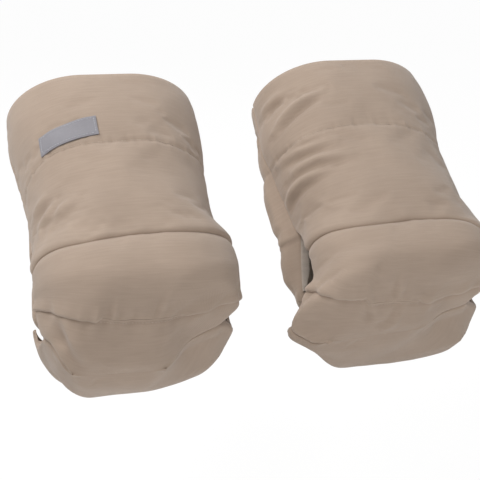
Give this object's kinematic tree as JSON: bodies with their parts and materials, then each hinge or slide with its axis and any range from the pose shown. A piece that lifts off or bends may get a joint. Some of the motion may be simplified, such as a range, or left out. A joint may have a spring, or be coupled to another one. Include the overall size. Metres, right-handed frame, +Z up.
{
  "type": "stroller hand muffs",
  "caption": "Padded fabric hand muffs that hang on a stroller handlebar. Each sleeve is open at the cuff, and its flap folds up under the bar and snaps shut behind it.",
  "frame": {"origin": "on the handlebar's axis, midway between the muffs", "axes": "+X along the handlebar towards the right muff as seen from the front, +Y back towards whoever pushes, +Z up"},
  "size_m": [0.4162, 0.2817, 0.244],
  "materials": {
    "shell": "beige water-repellent twill with a slight sheen",
    "facing": "beige woven facing at the cuff and hems",
    "wadding": "off-white polyester wadding",
    "lining": "short beige fleece pile",
    "tape": "ribbed binding tape",
    "label": "grey woven label with no lettering",
    "cap": "satin paint in the shell's colour",
    "snap": "nickel-plated brass"
  },
  "bodies": {
    "right_muff": {"right_sleeve_panel": "shell", "right_knuckle_panel": "shell", "right_toe_panel": "shell", "right_front_wadding": "wadding", "right_front_lining": "lining", "right_back_panel": "shell", "right_back_wadding": "wadding", "right_back_lining": "lining", "right_back_hem_facing": "facing", "right_cuff_facing": "facing", "right_slot_tape_left": "tape", "right_slot_tape_right": "tape", "right_snap_stud_1": "snap", "right_snap_stud_2": "snap", "right_snap_stud_3": "snap", "right_snap_post_1": "snap", "right_snap_post_2": "snap", "right_snap_post_3": "snap"},
    "right_flap": {"right_flap_shell": "shell", "right_flap_wadding": "wadding", "right_flap_lining": "lining", "right_flap_hem_facing": "facing", "right_snap_cap_1": "cap", "right_snap_cap_2": "cap", "right_snap_cap_3": "cap", "right_snap_socket_1": "snap", "right_snap_socket_2": "snap", "right_snap_socket_3": "snap"},
    "left_muff": {"left_sleeve_panel": "shell", "left_knuckle_panel": "shell", "left_toe_panel": "shell", "left_front_wadding": "wadding", "left_front_lining": "lining", "left_back_panel": "shell", "left_back_wadding": "wadding", "left_back_lining": "lining", "left_back_hem_facing": "facing", "left_cuff_facing": "facing", "left_slot_tape_left": "tape", "left_slot_tape_right": "tape", "left_snap_stud_1": "snap", "left_snap_stud_2": "snap", "left_snap_stud_3": "snap", "left_snap_post_1": "snap", "left_snap_post_2": "snap", "left_snap_post_3": "snap", "left_label": "label"},
    "left_flap": {"left_flap_shell": "shell", "left_flap_wadding": "wadding", "left_flap_lining": "lining", "left_flap_hem_facing": "facing", "left_snap_cap_1": "cap", "left_snap_cap_2": "cap", "left_snap_cap_3": "cap", "left_snap_socket_1": "snap", "left_snap_socket_2": "snap", "left_snap_socket_3": "snap"}
  },
  "joints": [
    {"name": "right_flap_hinge", "type": "hinge", "parent": "right_muff", "child": "right_flap", "pos_m": [0.118, -0.06056, -0.03361], "axis": [-1, 0, 0], "range_deg": [0, 110]},
    {"name": "left_muff_slide", "type": "slide", "parent": "right_muff", "child": "left_muff", "axis": [1, 0, 0], "range_m": [-0.06, 0.05]},
    {"name": "left_flap_hinge", "type": "hinge", "parent": "left_muff", "child": "left_flap", "pos_m": [-0.118, -0.06056, -0.03361], "axis": [-1, 0, 0], "range_deg": [0, 110]}
  ]
}
